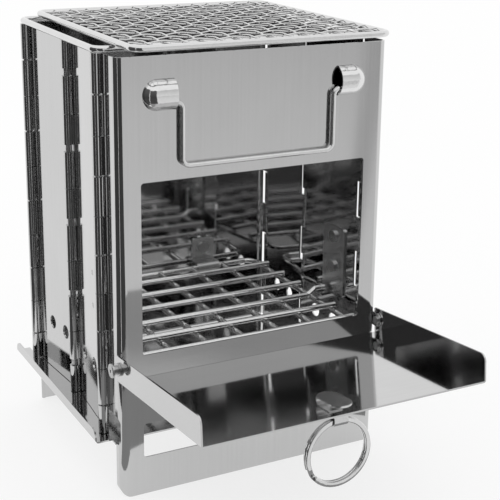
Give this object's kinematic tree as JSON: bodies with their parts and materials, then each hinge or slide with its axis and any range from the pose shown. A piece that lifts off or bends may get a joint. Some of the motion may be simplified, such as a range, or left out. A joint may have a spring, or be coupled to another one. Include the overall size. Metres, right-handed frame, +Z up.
{
  "type": "folding camping stove",
  "caption": "Folding sheet-steel wood stove with piano-hinged side walls, drop-down fuel door with pull ring, fire grate, base plate, carrying bail and lift-off woven grill.",
  "frame": {"origin": "middle of the front panel's bottom edge, on its front face", "axes": "+Z up, the front with the fuel door faces -Y, +X to the right as seen from the front"},
  "size_m": [0.152, 0.2189, 0.2094],
  "materials": {
    "sheet_steel": "bright rolled stainless sheet",
    "wire_steel": "polished stainless wire",
    "bright_steel": "bright nickel-plated steel",
    "rivet_steel": "satin steel rivets and hinge pins"
  },
  "bodies": {
    "front": {"front_panel": "sheet_steel", "base_plate": "sheet_steel", "handle_cup_left": "bright_steel", "handle_cup_right": "bright_steel", "door_rivet_left": "rivet_steel", "door_rivet_right": "rivet_steel", "left_front_pin": "rivet_steel", "right_front_pin": "rivet_steel"},
    "door": {"door_tray": "sheet_steel", "ring_clip": "sheet_steel"},
    "ring": {"pull_ring": "bright_steel"},
    "bail": {"handle_bail": "wire_steel"},
    "left_front_wall": {"left_front_leaf": "sheet_steel", "left_middle_pin": "rivet_steel", "leaf_bracket_left": "sheet_steel", "leaf_bracket_rivets_left": "rivet_steel"},
    "left_rear_wall": {"left_rear_leaf": "sheet_steel"},
    "right_front_wall": {"right_front_leaf": "sheet_steel", "right_middle_pin": "rivet_steel", "leaf_bracket_right": "sheet_steel", "leaf_bracket_rivets_right": "rivet_steel"},
    "right_rear_wall": {"right_rear_leaf": "sheet_steel"},
    "back": {"back_panel": "sheet_steel", "left_back_pin": "rivet_steel", "right_back_pin": "rivet_steel", "grate_bracket_left": "sheet_steel", "grate_bracket_right": "sheet_steel", "grate_bracket_rivets": "rivet_steel"},
    "grate": {"grate_long_rods": "wire_steel", "grate_cross_rods": "wire_steel"},
    "support": {"grill_support": "wire_steel"},
    "grill": {"grill_frame": "wire_steel", "mesh_wires_along": "wire_steel", "mesh_wires_across": "wire_steel"}
  },
  "joints": [
    {"name": "door_hinge", "type": "hinge", "parent": "front", "child": "door", "pos_m": [0, -0.0016, 0.065], "axis": [-1, 0, 0], "range_deg": [0, 84.7]},
    {"name": "ring_swing", "type": "hinge", "parent": "door", "child": "ring", "pos_m": [-0.0054, -0.08377, 0.06313], "axis": [-1, 0, 0], "range_deg": [-80, 90]},
    {"name": "bail_swing", "type": "hinge", "parent": "front", "child": "bail", "pos_m": [0, -0.002, 0.1831], "axis": [-1, 0, 0], "range_deg": [-1, 157]},
    {"name": "wall_fold", "type": "hinge", "parent": "front", "child": "left_front_wall", "pos_m": [-0.0691, 0.018, 0.0264], "axis": [0, 0, -1], "range_deg": [-4.3, 2.2]},
    {"name": "left_rear_fold", "type": "hinge", "parent": "left_front_wall", "child": "left_rear_wall", "pos_m": [-0.0654, 0.0668, 0.0264], "axis": [0, 0, 1], "range_deg": [-8.8, 4.6]},
    {"name": "back_fold", "type": "hinge", "parent": "left_rear_wall", "child": "back", "pos_m": [-0.0691, 0.1156, 0.0264], "axis": [0, 0, -1], "range_deg": [-4.5, 2.4]},
    {"name": "right_front_fold", "type": "hinge", "parent": "front", "child": "right_front_wall", "pos_m": [0.0691, 0.018, 0.0264], "axis": [0, 0, 1], "range_deg": [-4.5, 2.4]},
    {"name": "right_rear_fold", "type": "hinge", "parent": "right_front_wall", "child": "right_rear_wall", "pos_m": [0.0654, 0.0668, 0.0264], "axis": [0, 0, -1], "range_deg": [-8.8, 4.6]},
    {"name": "grate_hinge", "type": "hinge", "parent": "back", "child": "grate", "pos_m": [0, 0.11274, 0.063], "axis": [-1, 0, 0], "range_deg": [0, 85]},
    {"name": "support_lift", "type": "slide", "parent": "front", "child": "support", "axis": [0, 0, 1], "range_m": [0, 0.06]},
    {"name": "grill_lift", "type": "slide", "parent": "support", "child": "grill", "axis": [0, 0, 1], "range_m": [0, 0.06]}
  ],
  "couplings": [
    {"joint": "left_rear_fold", "follows": "wall_fold", "ratio": 2},
    {"joint": "back_fold", "follows": "wall_fold", "ratio": 1},
    {"joint": "right_front_fold", "follows": "wall_fold", "ratio": 1},
    {"joint": "right_rear_fold", "follows": "wall_fold", "ratio": 2}
  ]
}
